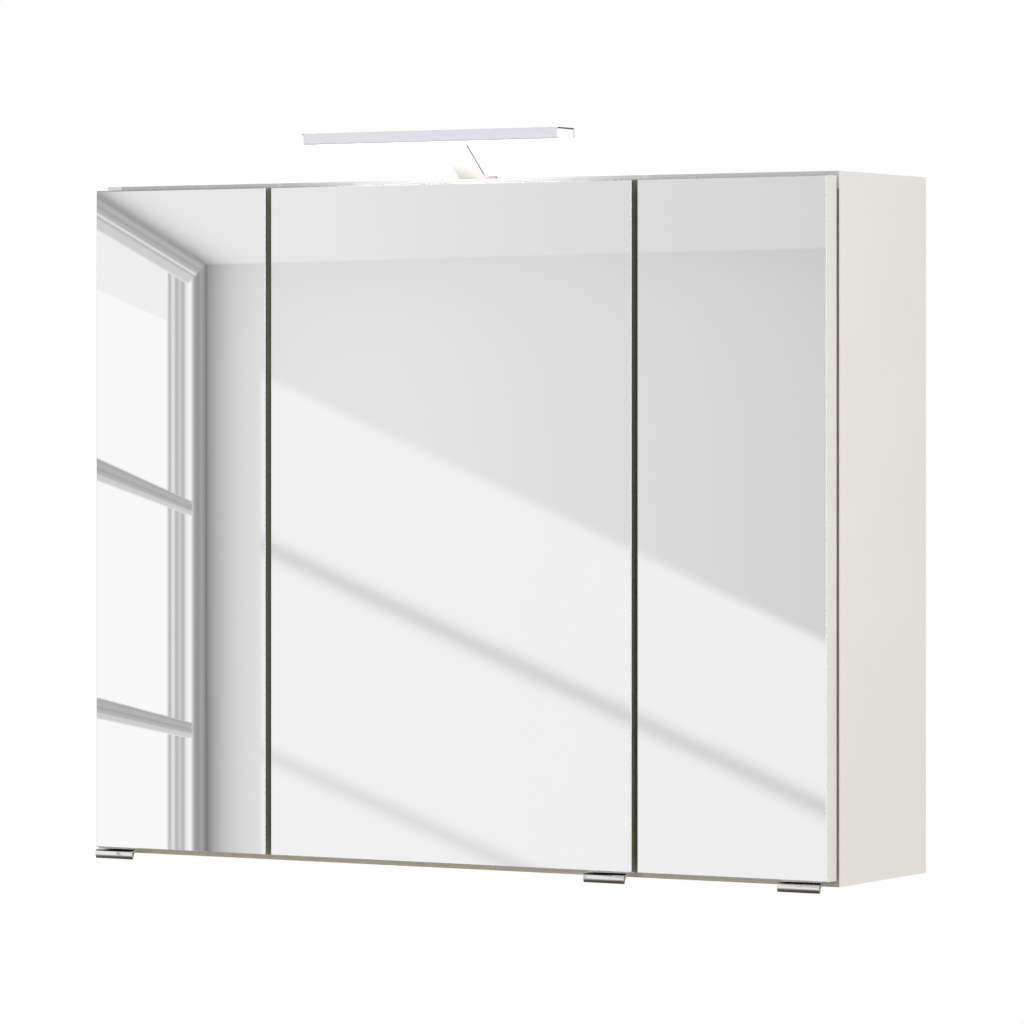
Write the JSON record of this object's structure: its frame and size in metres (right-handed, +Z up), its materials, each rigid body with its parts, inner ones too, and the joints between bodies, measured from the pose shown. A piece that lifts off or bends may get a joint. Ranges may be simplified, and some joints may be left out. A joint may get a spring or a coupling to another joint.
{
  "type": "medicine cabinet with mirror",
  "caption": "Wall-hung white bathroom cabinet with mirror doors split narrow, wide, narrow, chrome finger pulls below, glass shelves, and a bar lamp on a bent arm on top.",
  "frame": {"origin": "middle of the lower edge of the carcase's rear face, on the wall plane", "axes": "+X right as seen from the front, +Y towards the wall, +Z up"},
  "size_m": [0.8, 0.237, 0.6977],
  "materials": {
    "white_board": "white melamine-faced chipboard, fine satin",
    "white_hardboard": "white lacquered fibreboard, satin",
    "silvered_glass": "silvered float glass, polished, ground edge",
    "chrome": "die-cast zinc, bright chrome plated",
    "plated_steel": "nickel-plated pressed steel",
    "zinc": "die-cast zinc, bright passivated",
    "beech": "turned and fluted beech",
    "clear_glass": "clear float glass with ground edges",
    "lamp_white": "white powder coat, satin",
    "opal_plastic": "opal diffuser, satin",
    "white_plastic": "moulded ABS, fine satin",
    "aluminium": "plain aluminium sheet",
    "circuit_strip": "white solder-masked circuit board with light chips",
    "grey_rubber": "moulded grey rubber",
    "clear_rubber": "soft translucent polyurethane"
  },
  "bodies": {
    "root": {"side_panel_left": "white_board", "side_panel_right": "white_board", "top_board": "white_board", "bottom_board": "white_board", "partition_left": "white_board", "partition_right": "white_board", "back_panel": "white_hardboard", "cam_locks": "zinc", "cam_bolts": "plated_steel", "wood_dowels": "beech", "glass_shelves_left": "clear_glass", "glass_shelves_centre": "clear_glass", "glass_shelves_right": "clear_glass", "shelf_pins": "plated_steel", "hinge_mounting_plates": "zinc", "hinge_plate_screws": "plated_steel", "hinge_arms": "plated_steel", "hinge_arm_screws": "plated_steel", "hinge_arm_pins": "plated_steel", "lamp_arm": "lamp_white", "lamp_screws": "plated_steel", "lamp_housing": "lamp_white", "lamp_diffuser": "opal_plastic", "lamp_end_caps": "white_plastic", "lamp_carrier_plate": "aluminium", "lamp_led_strips": "circuit_strip", "cable_grommet": "grey_rubber", "switch_box_housing": "white_plastic", "switch_box_cover": "white_plastic", "switch_box_screws": "plated_steel", "socket_insert": "white_plastic", "hanger_housings": "white_plastic", "hanger_hooks": "plated_steel", "hanger_screws": "plated_steel"},
    "link_left": {"hinge_links_left": "plated_steel"},
    "door_left": {"door_board_left": "white_board", "mirror_left": "silvered_glass", "handle_left": "chrome", "hinge_cups_left": "plated_steel", "cup_pins_left": "plated_steel", "door_screws_left": "plated_steel", "bumpers_left": "clear_rubber"},
    "link_centre": {"hinge_links_centre": "plated_steel"},
    "door_centre": {"door_board_centre": "white_board", "mirror_centre": "silvered_glass", "handle_centre": "chrome", "hinge_cups_centre": "plated_steel", "cup_pins_centre": "plated_steel", "door_screws_centre": "plated_steel", "bumpers_centre": "clear_rubber"},
    "link_right": {"hinge_links_right": "plated_steel"},
    "door_right": {"door_board_right": "white_board", "mirror_right": "silvered_glass", "handle_right": "chrome", "hinge_cups_right": "plated_steel", "cup_pins_right": "plated_steel", "door_screws_right": "plated_steel", "bumpers_right": "clear_rubber"},
    "rocker": {"rocker_switch": "white_plastic"}
  },
  "joints": [
    {"name": "link_left_pivot", "type": "hinge", "parent": "root", "child": "link_left", "pos_m": [-0.234, -0.171, 0.325], "axis": [0, 0, -1], "range_deg": [0, 15]},
    {"name": "door_left_hinge", "type": "hinge", "parent": "link_left", "child": "door_left", "pos_m": [-0.2128, -0.1908, 0.325], "axis": [0, 0, 1], "range_deg": [0, 105]},
    {"name": "link_centre_pivot", "type": "hinge", "parent": "root", "child": "link_centre", "pos_m": [-0.166, -0.171, 0.325], "axis": [0, 0, 1], "range_deg": [0, 15]},
    {"name": "door_centre_hinge", "type": "hinge", "parent": "link_centre", "child": "door_centre", "pos_m": [-0.1872, -0.1908, 0.325], "axis": [0, 0, -1], "range_deg": [0, 105]},
    {"name": "link_right_pivot", "type": "hinge", "parent": "root", "child": "link_right", "pos_m": [0.234, -0.171, 0.325], "axis": [0, 0, 1], "range_deg": [0, 15]},
    {"name": "door_right_hinge", "type": "hinge", "parent": "link_right", "child": "door_right", "pos_m": [0.2128, -0.1908, 0.325], "axis": [0, 0, -1], "range_deg": [0, 105]},
    {"name": "rocker_tilt", "type": "hinge", "parent": "root", "child": "rocker", "pos_m": [0.027, -0.061, 0.614], "axis": [1, 0, 0], "range_deg": [-5, 5]}
  ],
  "couplings": [
    {"joint": "link_left_pivot", "follows": "door_left_hinge", "ratio": 0.14286},
    {"joint": "link_centre_pivot", "follows": "door_centre_hinge", "ratio": 0.14286},
    {"joint": "link_right_pivot", "follows": "door_right_hinge", "ratio": 0.14286}
  ]
}
